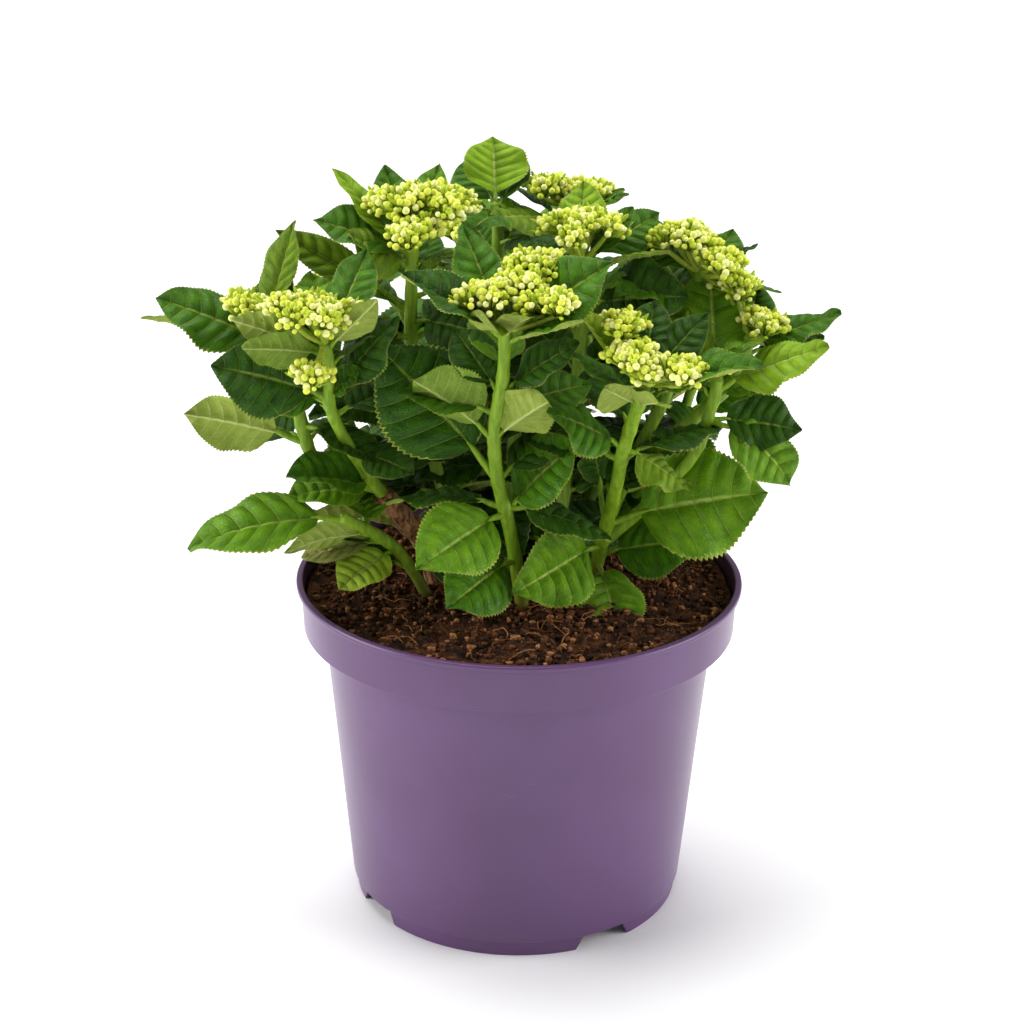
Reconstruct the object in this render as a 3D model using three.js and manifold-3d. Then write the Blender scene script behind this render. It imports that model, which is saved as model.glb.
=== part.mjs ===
// A hydrangea shrub in a round nursery pot: pot, compost, branching stems and the leafy masses of the crown.
// Millimetres, +Z up. The origin is the centre of the pot's underside, and the plant's front faces -Y.
import * as THREE from "three";
import { mergeVertices } from "three/addons/utils/BufferGeometryUtils.js";
import Module from "manifold-3d";

// Driving dimensions.
const CLEARANCE = 0.3; // left between pieces that touch
const ROUND_SEGMENTS = 40;

const POT_HEIGHT = 176;
const WALL = 1.6;
const LIP_RADIUS = 115;
const LIP_HEIGHT = 3;
const LIP_WIDTH = 3.4;
const BAND_TOP_RADIUS = 112.5;
const BAND_BOTTOM_RADIUS = 111.5;
const BAND_BOTTOM = 150.5;
const BODY_TOP_RADIUS = 101;
const BODY_FOOT_RADIUS = 87.9;
const FOOT_HEIGHT = 8;
const FOOT_RADIUS = 85.8;
const FOOT_WIDTH = 2.6;
const FLOOR_THICKNESS = 2;
const PAD_RADIUS = 26; // the middle of the floor dips to the ground
const PAD_SLOPE = 5;

const NOTCH_COUNT = 4;
const NOTCH_AZIMUTH = -58; // degrees from the front, towards +X
const NOTCH_BOTTOM_WIDTH = 32;
const NOTCH_TOP_WIDTH = 24;
const NOTCH_HEIGHT = 7.6;
const NOTCH_REACH = 20; // how far a notch's cutting wedge runs outwards
const DRAIN_RADIUS = 6;
const DRAIN_CIRCLE = 66;
const DRAIN_SIDES = 16;

const SOIL_EDGE = 167.5;
const SOIL_CROWN = 4;
const SOIL_UNEVEN = 1.2;
const SOIL_FOOT = 160; // stems start inside the compost and are cut where they leave it

const STEM_SIDES = 8;
const STEM_STEPS = 5;
const MASS_DETAIL = 2;
const LEAF_CORE = 0.8; // the solid middle of a leafy mass, as a share of its reach
const LEAF_LOBE = 5; // how narrow the lobe of one leaf is
const LEAF_PAIRS = [
  { rise: -18, reach: 1.0 },
  { rise: 8, reach: 1.0 },
  { rise: 40, reach: 0.88 },
];

const COLOURS = {
  pot: { color: 0x66507a, roughness: 0.42, metalness: 0 },
  soil: { color: 0x3a2417, roughness: 0.95, metalness: 0 },
  wood: { color: 0x7a5a3c, roughness: 0.85, metalness: 0 },
  stem: { color: 0x8aa84a, roughness: 0.5, metalness: 0 },
  foliage: { color: 0x3f7a26, roughness: 0.45, metalness: 0 },
};

// Each stem is one tapering limb. from is where it starts, and via is the way it leans up into its mass.
const FOOT = "soil";
const STEMS = {
  stem_front_center: {
    into: "foliage_front_center",
    on: FOOT,
    radii: [5, 3.6],
    path: [[3, -28], [-4, -35, 209], [-11, -43, 243], [-13, -48, 271], [-9, -54, 300]],
  },
  stem_front_right: {
    into: "foliage_front_right",
    on: FOOT,
    radii: [5, 3.6],
    path: [[36, 4], [41, -10, 193], [47, -35, 236], [50, -47, 262], [56, -60, 282]],
  },
  stem_left_old_wood: {
    on: FOOT,
    radii: [6.5, 5],
    finish: "wood",
    path: [[-40, 2], [-47, -4, 193], [-59, -11, 210], [-69, -18, 225]],
  },
  stem_left_front: {
    into: "foliage_front_left",
    on: "stem_left_old_wood",
    radii: [4.4, 3.4],
    path: [[-66, -16, 221], [-77, -24, 240], [-88, -34, 264], [-98, -46, 288]],
  },
  stem_left: {
    into: "foliage_left",
    on: "stem_left_old_wood",
    radii: [4, 3.2],
    path: [[-58, -9, 209], [-84, -10, 224], [-104, -15, 244], [-112, -17, 280], [-116, -16, 300]],
  },
  stem_low_left: {
    into: "foliage_low_left",
    on: FOOT,
    radii: [4.6, 3.4],
    path: [[-42, -16], [-58, -21, 192], [-72, -28, 208], [-92, -40, 220]],
  },
  stem_top_left: {
    into: "foliage_top_left",
    on: FOOT,
    radii: [5, 3.4],
    path: [[-20, 4], [-40, 8, 220], [-54, 6, 280], [-55, 4, 340]],
  },
  stem_middle: {
    into: "foliage_middle",
    on: FOOT,
    radii: [5, 3.4],
    path: [[16, -20], [22, -8, 220], [28, 2, 280], [30, 4, 335]],
  },
  stem_top: {
    into: "foliage_top",
    on: FOOT,
    radii: [5, 3.4],
    path: [[-4, 14], [-6, 24, 230], [-2, 42, 300], [0, 52, 360]],
  },
  stem_right: {
    into: "foliage_right",
    on: FOOT,
    radii: [5, 3.6],
    path: [[34, 24], [56, 20, 225], [76, 16, 275], [86, 14, 320]],
  },
  stem_far_right: {
    into: "foliage_far_right",
    on: "stem_right",
    radii: [4, 3.2],
    path: [[58, 20, 229], [84, 6, 256], [104, -6, 282], [112, -10, 300]],
  },
  stem_right_low: {
    into: "foliage_right_low",
    on: "stem_front_right",
    radii: [3.6, 3],
    path: [[42, -12, 198], [66, -14, 222], [92, -22, 246], [100, -24, 256]],
  },
  stem_back_left: {
    into: "foliage_back_left",
    on: FOOT,
    radii: [5, 3.4],
    path: [[-28, 22], [-56, 44, 215], [-84, 60, 262], [-98, 68, 300]],
  },
  stem_back: {
    into: "foliage_back",
    on: FOOT,
    radii: [5, 3.4],
    path: [[-6, 34], [-12, 66, 215], [-16, 92, 262], [-18, 106, 300]],
  },
  stem_back_right: {
    into: "foliage_back_right",
    on: FOOT,
    radii: [5, 3.4],
    path: [[18, 30], [44, 54, 215], [64, 74, 262], [74, 84, 300]],
  },
};

// Each leafy mass: its middle, its half sizes along X, Y and Z, and how far its lowest pair of leaves is turned.
const MASSES = {
  foliage_front_center: { middle: [-5, -66, 320], half: [66, 48, 51], turn: 10 },
  foliage_front_right: { middle: [60, -74, 292], half: [64, 46, 49], turn: 35 },
  foliage_front_left: { middle: [-104, -58, 280], half: [60, 44, 44], turn: 200 },
  foliage_low_center: { middle: [-8, -74, 240], half: [54, 35, 58], turn: 60 },
  foliage_low_right: { middle: [66, -60, 220], half: [60, 37, 49], turn: 20 },
  foliage_low_left: { middle: [-108, -52, 222], half: [62, 40, 37], turn: 195 },
  foliage_left: { middle: [-122, -12, 318], half: [74, 52, 46], turn: 170 },
  foliage_top_left: { middle: [-58, 6, 350], half: [64, 52, 49], turn: 130 },
  foliage_top: { middle: [-4, 52, 366], half: [62, 56, 51], turn: 80 },
  foliage_middle: { middle: [28, 2, 338], half: [56, 48, 49], turn: 25 },
  foliage_right: { middle: [86, 16, 330], half: [62, 54, 51], turn: 60 },
  foliage_far_right: { middle: [110, -14, 298], half: [54, 48, 53], turn: 5 },
  foliage_right_low: { middle: [96, -26, 252], half: [52, 44, 42], turn: 340 },
  foliage_back_left: { middle: [-102, 66, 300], half: [72, 69, 67], turn: 140 },
  foliage_back: { middle: [-18, 104, 300], half: [64, 62, 77], turn: 90 },
  foliage_back_right: { middle: [74, 82, 300], half: [72, 67, 70], turn: 45 },
  foliage_low_back: { middle: [-20, 62, 228], half: [76, 54, 46], turn: 100 },
};

const wasm = await Module();
wasm.setup();

const radians = THREE.MathUtils.degToRad;

// A point at this distance and height, at an azimuth counted from the front towards +X.
function aroundAxis(azimuth, radius, z) {
  const angle = radians(azimuth);
  return new THREE.Vector3(radius * Math.sin(angle), -radius * Math.cos(angle), z);
}

function toSolid(geometry) {
  const bare = geometry.clone();
  bare.deleteAttribute("normal");
  bare.deleteAttribute("uv");
  const merged = mergeVertices(bare, 1e-4);
  return new wasm.Manifold(
    new wasm.Mesh({
      numProp: 3,
      vertProperties: new Float32Array(merged.attributes.position.array),
      triVerts: new Uint32Array(merged.index.array),
    }),
  );
}

function toGeometry(solid) {
  const mesh = solid.getMesh();
  const geometry = new THREE.BufferGeometry();
  geometry.setAttribute("position", new THREE.BufferAttribute(mesh.vertProperties, 3));
  geometry.setIndex(new THREE.BufferAttribute(mesh.triVerts, 1));
  geometry.computeVertexNormals();
  return geometry;
}

// Turns a closed profile of [radius, height] points about Z. It runs anticlockwise, up the outside.
function turned(profile) {
  const points = profile.map(([radius, height]) => new THREE.Vector2(radius, height));
  return new THREE.LatheGeometry(points, ROUND_SEGMENTS).rotateX(Math.PI / 2);
}

function insideProfile(gap) {
  const floor = FOOT_HEIGHT + FLOOR_THICKNESS + gap;
  const padSide = PAD_RADIUS - WALL - gap;
  return [
    [0, FLOOR_THICKNESS + gap],
    [padSide, FLOOR_THICKNESS + gap],
    [padSide + PAD_SLOPE, floor],
    [BODY_FOOT_RADIUS - WALL - gap, floor],
    [BODY_TOP_RADIUS - WALL - gap, BAND_BOTTOM + WALL + gap],
    [BAND_BOTTOM_RADIUS - WALL - gap, BAND_BOTTOM + WALL + gap],
  ];
}

function potShell() {
  const outside = [
    [0, 0],
    [PAD_RADIUS, 0],
    [PAD_RADIUS + PAD_SLOPE, FOOT_HEIGHT],
    [FOOT_RADIUS - FOOT_WIDTH, FOOT_HEIGHT],
    [FOOT_RADIUS - FOOT_WIDTH, 0],
    [FOOT_RADIUS, 0],
    [FOOT_RADIUS, FOOT_HEIGHT],
    [BODY_FOOT_RADIUS, FOOT_HEIGHT + 0.6],
    [BODY_TOP_RADIUS, BAND_BOTTOM],
    [BAND_BOTTOM_RADIUS, BAND_BOTTOM],
    [BAND_TOP_RADIUS, POT_HEIGHT - LIP_HEIGHT],
    [LIP_RADIUS, POT_HEIGHT - LIP_HEIGHT],
    [LIP_RADIUS, POT_HEIGHT],
    [LIP_RADIUS - LIP_WIDTH, POT_HEIGHT],
  ];
  const shell = toSolid(turned([...outside, ...insideProfile(0).reverse()]));
  return notches().concat(drainHoles()).reduce((pot, cut) => pot.subtract(cut), shell);
}

// The wedges that leave four feet round the pot's edge.
function notches() {
  const half = [NOTCH_BOTTOM_WIDTH / 2, NOTCH_TOP_WIDTH / 2];
  const outline = new THREE.Shape([
    new THREE.Vector2(-half[0], -1),
    new THREE.Vector2(half[0], -1),
    new THREE.Vector2(half[1], NOTCH_HEIGHT),
    new THREE.Vector2(-half[1], NOTCH_HEIGHT),
  ]);
  return Array.from({ length: NOTCH_COUNT }, (_, i) => {
    const wedge = new THREE.ExtrudeGeometry(outline, { depth: NOTCH_REACH, bevelEnabled: false });
    const azimuth = NOTCH_AZIMUTH + (i * 360) / NOTCH_COUNT;
    wedge.rotateX(Math.PI / 2).rotateZ(radians(azimuth));
    const start = aroundAxis(azimuth, FOOT_RADIUS - NOTCH_REACH * 0.7, 0);
    return toSolid(wedge.translate(start.x, start.y, 0));
  });
}

function drainHoles() {
  return Array.from({ length: NOTCH_COUNT }, (_, i) => {
    const depth = 3 * FLOOR_THICKNESS;
    const hole = new THREE.CylinderGeometry(DRAIN_RADIUS, DRAIN_RADIUS, depth, DRAIN_SIDES);
    const azimuth = NOTCH_AZIMUTH + (i * 360) / NOTCH_COUNT;
    const at = aroundAxis(azimuth, DRAIN_CIRCLE, FOOT_HEIGHT + FLOOR_THICKNESS / 2);
    return toSolid(hole.rotateX(Math.PI / 2).translate(at.x, at.y, at.z));
  });
}

// The compost's top: low round the wall, raised in the middle, and a little uneven.
function soilHeight(x, y) {
  const share = Math.hypot(x, y) / BAND_BOTTOM_RADIUS;
  const uneven = Math.sin(x / 11 + 1) * Math.cos(y / 13) + Math.sin((x + y) / 7) / 2;
  return SOIL_EDGE + SOIL_CROWN * (1 - share * share) + SOIL_UNEVEN * uneven;
}

function soilSolid(grow) {
  const topRadius = BAND_BOTTOM_RADIUS - WALL - CLEARANCE;
  const rings = [1, 0.82, 0.62, 0.4, 0.2, 0].map((share) => [topRadius * share, SOIL_EDGE]);
  const geometry = turned([...insideProfile(CLEARANCE), ...rings]);
  const at = geometry.attributes.position;
  for (let i = 0; i < at.count; i += 1) {
    if (at.getZ(i) >= SOIL_EDGE) {
      at.setZ(i, soilHeight(at.getX(i), at.getY(i)) + grow);
    }
  }
  return toSolid(geometry);
}

// A round limb that tapers along a smooth path.
function limb({ path, radii }, grow) {
  const curve = new THREE.CatmullRomCurve3(
    path.map(([x, y, z = SOIL_FOOT]) => new THREE.Vector3(x, y, z)),
  );
  const geometry = new THREE.CylinderGeometry(
    radii[1] + grow,
    radii[0] + grow,
    1,
    STEM_SIDES,
    STEM_STEPS,
  );
  const frames = curve.computeFrenetFrames(STEM_STEPS);
  const at = geometry.attributes.position;
  for (let i = 0; i < at.count; i += 1) {
    const along = at.getY(i) + 0.5;
    const step = Math.round(along * STEM_STEPS);
    const place = curve
      .getPointAt(along)
      .addScaledVector(frames.normals[step], at.getX(i))
      .addScaledVector(frames.binormals[step], -at.getZ(i));
    at.setXYZ(i, place.x, place.y, place.z);
  }
  return toSolid(geometry);
}

// How far a leafy mass reaches in a direction: a round core with a lobe for each leaf of its crossed pairs.
function leafReach(direction, turn) {
  let reach = LEAF_CORE;
  LEAF_PAIRS.forEach((pair, i) => {
    for (const side of [0, 180]) {
      const azimuth = radians(turn + 90 * i + side);
      const rise = radians(pair.rise);
      const leaf = new THREE.Vector3(Math.cos(azimuth), Math.sin(azimuth), 0)
        .multiplyScalar(Math.cos(rise))
        .setZ(Math.sin(rise));
      const near = Math.max(0, direction.dot(leaf)) ** LEAF_LOBE;
      reach = Math.max(reach, LEAF_CORE + (pair.reach - LEAF_CORE) * near);
    }
  });
  return reach;
}

function leafyMass({ middle, half, turn }, grow) {
  const geometry = new THREE.IcosahedronGeometry(1, MASS_DETAIL);
  const at = geometry.attributes.position;
  for (let i = 0; i < at.count; i += 1) {
    const direction = new THREE.Vector3().fromBufferAttribute(at, i).normalize();
    const reach = leafReach(direction, turn);
    const place = direction.toArray().map((part, k) => middle[k] + part * (half[k] * reach + grow));
    at.setXYZ(i, ...place);
  }
  return toSolid(geometry);
}

// The whole object: the pot, the compost, the limbs and the masses, each clear of the others.
function shrub() {
  const solids = { pot: potShell(), soil: soilSolid(0) };
  for (const [name, stem] of Object.entries(STEMS)) {
    const root = stem.on === FOOT ? soilSolid(CLEARANCE) : limb(STEMS[stem.on], CLEARANCE);
    solids[name] = limb(stem, 0).subtract(root);
    if (stem.into) {
      solids[name] = solids[name].subtract(leafyMass(MASSES[stem.into], CLEARANCE));
    }
  }
  const taken = [];
  for (const [name, mass] of Object.entries(MASSES)) {
    const passing = Object.values(STEMS).filter((stem) => stem.into !== name);
    const cuts = [...taken, ...passing.map((stem) => limb(stem, CLEARANCE))];
    solids[name] = cuts.reduce((rest, cut) => rest.subtract(cut), leafyMass(mass, 0));
    taken.push(leafyMass(mass, CLEARANCE));
  }
  return solids;
}

function finishOf(name) {
  if (name in MASSES) {
    return "foliage";
  }
  return name in STEMS ? (STEMS[name].finish ?? "stem") : name;
}

const group = new THREE.Group();
for (const [name, solid] of Object.entries(shrub())) {
  const material = new THREE.MeshStandardMaterial(COLOURS[finishOf(name)]);
  const mesh = new THREE.Mesh(toGeometry(solid), material);
  mesh.name = name;
  group.add(mesh);
}

export default group;
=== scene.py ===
# A young hydrangea shrub in bud, in a round nursery pot. Lengths are in millimetres until a mesh is made.
import math
import random

import bpy
import numpy as np
from mathutils import Matrix, Vector, noise


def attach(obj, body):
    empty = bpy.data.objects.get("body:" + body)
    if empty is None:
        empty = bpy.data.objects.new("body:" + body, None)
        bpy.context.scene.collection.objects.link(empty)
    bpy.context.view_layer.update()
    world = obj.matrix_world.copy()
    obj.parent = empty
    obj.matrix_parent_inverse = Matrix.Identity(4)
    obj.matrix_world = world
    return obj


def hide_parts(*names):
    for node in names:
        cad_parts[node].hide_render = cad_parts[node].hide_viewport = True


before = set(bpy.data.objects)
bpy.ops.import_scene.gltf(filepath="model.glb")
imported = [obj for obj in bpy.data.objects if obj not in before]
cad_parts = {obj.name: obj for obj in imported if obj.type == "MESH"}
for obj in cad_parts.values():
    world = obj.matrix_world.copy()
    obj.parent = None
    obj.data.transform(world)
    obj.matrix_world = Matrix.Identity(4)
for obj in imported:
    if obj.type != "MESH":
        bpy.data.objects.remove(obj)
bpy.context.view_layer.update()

MM = 0.001
BODY = "root"
SEED = 20

# ---------------------------------------------------------------- shader sums


class Line:
    """A shader socket that can be used in sums."""

    def __init__(self, tree, socket=None):
        self.tree = tree
        self.socket = socket

    def node(self, kind, settings, sockets, out=0):
        made = self.tree.nodes.new(kind)
        for name, value in settings.items():
            if name == "stops":
                self.set_stops(made.color_ramp, value)
            else:
                setattr(made, name, value)
        for name, value in sockets.items():
            if isinstance(value, Line):
                self.tree.links.new(value.socket, made.inputs[name])
            else:
                made.inputs[name].default_value = value
        return Line(self.tree, made.outputs[out] if made.outputs else None)

    @staticmethod
    def set_stops(ramp, stops):
        while len(ramp.elements) < len(stops):
            ramp.elements.new(1.0)
        for element, (place, colour) in zip(ramp.elements, stops):
            element.position = place
            element.color = colour

    def math(self, operation, *values):
        return self.node("ShaderNodeMath", {"operation": operation}, dict(enumerate(values)))

    def __add__(self, other):
        return self.math("ADD", self, other)

    def __radd__(self, other):
        return self.math("ADD", other, self)

    def __sub__(self, other):
        return self.math("SUBTRACT", self, other)

    def __rsub__(self, other):
        return self.math("SUBTRACT", other, self)

    def __mul__(self, other):
        return self.math("MULTIPLY", self, other)

    def __rmul__(self, other):
        return self.math("MULTIPLY", other, self)

    def fraction(self):
        return self.math("FRACT", self)

    def size(self):
        return self.math("ABSOLUTE", self)

    def rises(self, low, high):
        """0 below low, 1 above high, smooth between. It falls if high is the lower one."""
        settings = {"interpolation_type": "SMOOTHSTEP"}
        if low < high:
            sockets = {"Value": self, "From Min": low, "From Max": high}
            return self.node("ShaderNodeMapRange", settings, sockets)
        return 1 - self.rises(high, low)

    def blend(self, first, second):
        """A colour between two, by this share."""
        settings = {"data_type": "RGBA", "blend_type": "MIX"}
        return self.node("ShaderNodeMix", settings, {0: self, 6: first, 7: second}, out=2)

    def part(self, axis):
        return self.node("ShaderNodeSeparateXYZ", {}, {"Vector": self}, out="XYZ".index(axis))

    def stretched(self, x, y, z):
        settings = {"operation": "MULTIPLY"}
        return self.node("ShaderNodeVectorMath", settings, {0: self, 1: (x, y, z)})

    def specks(self, scale, detail=3.0, roughness=0.55):
        sockets = {"Vector": self, "Scale": scale, "Detail": detail, "Roughness": roughness}
        return self.node("ShaderNodeTexNoise", {}, sockets)

    def cells(self, scale, feature="DISTANCE_TO_EDGE"):
        sockets = {"Vector": self, "Scale": scale}
        return self.node("ShaderNodeTexVoronoi", {"feature": feature}, sockets)


def srgb(code):
    """A linear colour from a screen colour code."""
    parts = [int(code[i : i + 2], 16) / 255 for i in (0, 2, 4)]
    linear = [p / 12.92 if p <= 0.04045 else ((p + 0.055) / 1.055) ** 2.4 for p in parts]
    return (*linear, 1.0)


def new_material(name):
    made = bpy.data.materials.new(name)
    made.use_nodes = True
    made.node_tree.nodes.clear()
    return made, Line(made.node_tree)


def finish(line, colour, roughness, height=None, depth=0.0, **plain):
    """Joins the varying colour, roughness and relief to one surface shader. plain holds fixed sockets."""
    sockets = {"Base Color": colour, "Roughness": roughness}
    sockets.update({name.replace("_", " "): value for name, value in plain.items()})
    if height is not None:
        bumped = {"Strength": 1.0, "Distance": depth * MM, "Height": height}
        sockets["Normal"] = line.node("ShaderNodeBump", {}, bumped)
    shader = line.node("ShaderNodeBsdfPrincipled", {}, sockets)
    line.node("ShaderNodeOutputMaterial", {}, {"Surface": shader})


def from_object(line):
    return line.node("ShaderNodeTexCoord", {}, {}, out=3)


# ---------------------------------------------------------------- materials

VEIN_COUNT = 7  # side veins on each half of a blade


def leaf_pattern(line):
    """The masks that every blade shares, in its own across and along coordinates."""
    place = line.node("ShaderNodeUVMap", {"uv_map": "blade"}, {})
    across, along = place.part("X"), place.part("Y")
    side = (across - 0.5).size() * 2
    rib = side.rises(0.07, 0.012)
    phase = ((along * VEIN_COUNT).fraction() - 0.5).size() * 2
    vein = phase.rises(0.87, 0.99) * side.rises(1.0, 0.6)
    net = place.stretched(24, 40, 1).cells(1.0).rises(0.14, 0.0)
    mottle = place.stretched(3, 4, 1).specks(1.6)
    edge = side.rises(0.945, 1.0)
    crinkle = place.stretched(9, 13, 1).specks(1.0, 4.0)
    pillow = phase * phase * side.rises(1.0, 0.5)
    return rib, vein, net, mottle, edge, crinkle - pillow * 0.9


def leaf_top(name, deep, light, vein_colour, edge_colour, gloss):
    made, line = new_material(name)
    rib, vein, net, mottle, edge, crinkle = leaf_pattern(line)
    colour = mottle.rises(0.3, 0.75).blend(srgb(deep), srgb(light))
    colour = (net * 0.08 + vein * 0.62).blend(colour, srgb(vein_colour))
    colour = rib.blend(colour, srgb(vein_colour))
    colour = (edge * 0.75).blend(colour, srgb(edge_colour))
    height = crinkle * 1.1 - net * 0.3 - vein * 0.8 - rib * 0.8
    roughness = gloss - 0.06 + mottle * 0.16 + vein * 0.1
    finish(line, colour, roughness, height, 0.7, Specular_IOR_Level=0.2)
    return made


def leaf_under(name, pale, deep, vein_colour):
    made, line = new_material(name)
    rib, vein, net, mottle, _, _ = leaf_pattern(line)
    colour = mottle.rises(0.3, 0.75).blend(srgb(deep), srgb(pale))
    colour = (net * 0.35 + vein * 0.6).blend(colour, srgb(vein_colour))
    colour = rib.blend(colour, srgb(vein_colour))
    height = net * 0.3 + vein * 0.6 + rib
    finish(line, colour, 0.6 + mottle * 0.1, height, 0.5, Specular_IOR_Level=0.25)
    return made


def shoot_skin():
    made, line = new_material("shoot_skin")
    place = from_object(line)
    streaks = place.stretched(1, 1, 0.12).specks(520, 2.0)
    freckles = place.specks(900, 1.0).rises(0.70, 0.78)
    woody = place.part("Z").rises(0.200, 0.168)
    colour = streaks.rises(0.3, 0.75).blend(srgb("678c0c"), srgb("8aab26"))
    colour = (freckles * 0.5).blend(colour, srgb("7d5a35"))
    colour = (woody * 0.55).blend(colour, srgb("7f6a34"))
    finish(line, colour, 0.42 + streaks * 0.2, streaks * 0.5 - freckles, 0.12, Specular_IOR_Level=0.35)
    return made


def bark():
    made, line = new_material("bark")
    place = from_object(line)
    flakes = place.stretched(1, 1, 0.35).specks(260, 6.0, 0.7)
    cracks = place.stretched(1, 1, 0.15).specks(480, 3.0).rises(0.46, 0.36)
    colour = flakes.rises(0.35, 0.65).blend(srgb("6a4024"), srgb("c08c5a"))
    colour = (cracks * 0.8).blend(colour, srgb("3a2213"))
    finish(line, colour, 0.85 - flakes * 0.1, flakes - cracks, 1.0)
    return made


def bud_skin(name, low, high):
    made, line = new_material(name)
    tone = from_object(line).specks(700, 2.0)
    colour = tone.rises(0.35, 0.65).blend(srgb(low), srgb(high))
    finish(line, colour, 0.5 + tone * 0.1, tone, 0.1, Specular_IOR_Level=0.3)
    return made


def peat():
    made, line = new_material("peat")
    place = from_object(line)
    coarse = place.specks(90, 6.0, 0.7)
    fine = place.specks(700, 4.0, 0.7)
    colour = coarse.rises(0.35, 0.7).blend(srgb("241208"), srgb("74482a"))
    colour = (fine.rises(0.58, 0.8) * 0.7).blend(colour, srgb("a87848"))
    finish(line, colour, 0.88 + fine * 0.1, fine + coarse, 3.0, Specular_IOR_Level=0.25)
    return made


def peat_bit(name, low, high):
    made, line = new_material(name)
    tone = from_object(line).specks(400, 4.0, 0.7)
    colour = tone.rises(0.35, 0.65).blend(srgb(low), srgb(high))
    finish(line, colour, 0.85 + tone * 0.1, tone, 0.6, Specular_IOR_Level=0.25)
    return made


def pot_plastic():
    made, line = new_material("pot_plastic")
    place = from_object(line)
    cloud = place.specks(14, 3.0)
    grain = place.specks(1400, 2.0)
    rubs = place.stretched(1, 1, 3).specks(60, 5.0, 0.7).rises(0.62, 0.75)
    colour = cloud.rises(0.3, 0.7).blend(srgb("573862"), srgb("5d3f6b"))
    colour = (rubs * 0.10).blend(colour, srgb("9484a6"))
    roughness = 0.27 + grain * 0.06 + rubs * 0.1
    finish(line, colour, roughness, grain, 0.05, Specular_IOR_Level=0.5)
    return made


def backdrop_paint():
    made, line = new_material("backdrop_paint")
    tone = from_object(line).specks(2.0)
    colour = tone.blend(srgb("fbfbfb"), srgb("fdfdfd"))
    finish(line, colour, 0.9 + tone * 0.05)
    return made


LEAF_TONES = {
    "dark": leaf_top("leaf_dark", "1b4200", "346400", "7b9638", "a3a845", 0.32),
    "deep": leaf_top("leaf_deep", "316200", "4f8600", "8fa840", "aead48", 0.33),
    "mid": leaf_top("leaf_mid", "4e7e04", "70a00e", "a3c250", "b9b650", 0.35),
    "fresh": leaf_top("leaf_fresh", "7aa60a", "9ac022", "b8cf66", "c3c058", 0.38),
    "lime": leaf_top("leaf_lime", "90b21c", "aeca38", "c6d67a", "c6bf5c", 0.42),
    "withered": leaf_top("leaf_withered", "7b8738", "a6a65c", "c2bb7c", "6b4a22", 0.55),
    "olive": leaf_top("leaf_olive", "587c00", "7a9c0c", "a5b44c", "ab9a40", 0.40),
}
UNDER_TONES = {
    "sage": leaf_under("under_sage", "a4b64c", "869f30", "c2d078"),
    "green": leaf_under("under_green", "83a135", "66891c", "aebf62"),
}
SHOOT_SKIN = shoot_skin()
BARK = bark()
BUD_TONES = [
    bud_skin("bud_pale", "e2e67a", "f6f6ac"),
    bud_skin("bud_yellow", "d0da40", "e4ea62"),
    bud_skin("bud_green", "b0c422", "cad844"),
    bud_skin("bud_leafy", "90aa1a", "b0c42e"),
]
BUD_STALK = bud_skin("bud_stalk", "8fa824", "a9ba42")
PEAT = peat()
PEAT_BITS = [
    peat_bit("peat_dark", "241309", "452a17"),
    peat_bit("peat_brown", "4b2c17", "7a4c2a"),
    peat_bit("peat_red", "8a5630", "b88252"),
]
POT_PLASTIC = pot_plastic()

# ---------------------------------------------------------------- sizes shared by pot, compost and leaves

POT_HEIGHT, WALL, FOOT_HEIGHT, FLOOR_THICKNESS = 176, 1.6, 8, 2
BAND_BOTTOM, BAND_BOTTOM_RADIUS, BAND_TOP_RADIUS = 150.5, 111.5, 112.5
BODY_TOP_RADIUS, BODY_FOOT_RADIUS = 101, 87.9
SOIL_EDGE, SOIL_CROWN, SOIL_UNEVEN = 167.5, 4, 1.2
FIT_GAP = 0.3
SOIL_RADIUS = BAND_BOTTOM_RADIUS - WALL - FIT_GAP
RIM_CLEARANCE = 14
SOIL_LUMPS = 2.0

# ---------------------------------------------------------------- meshes


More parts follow.
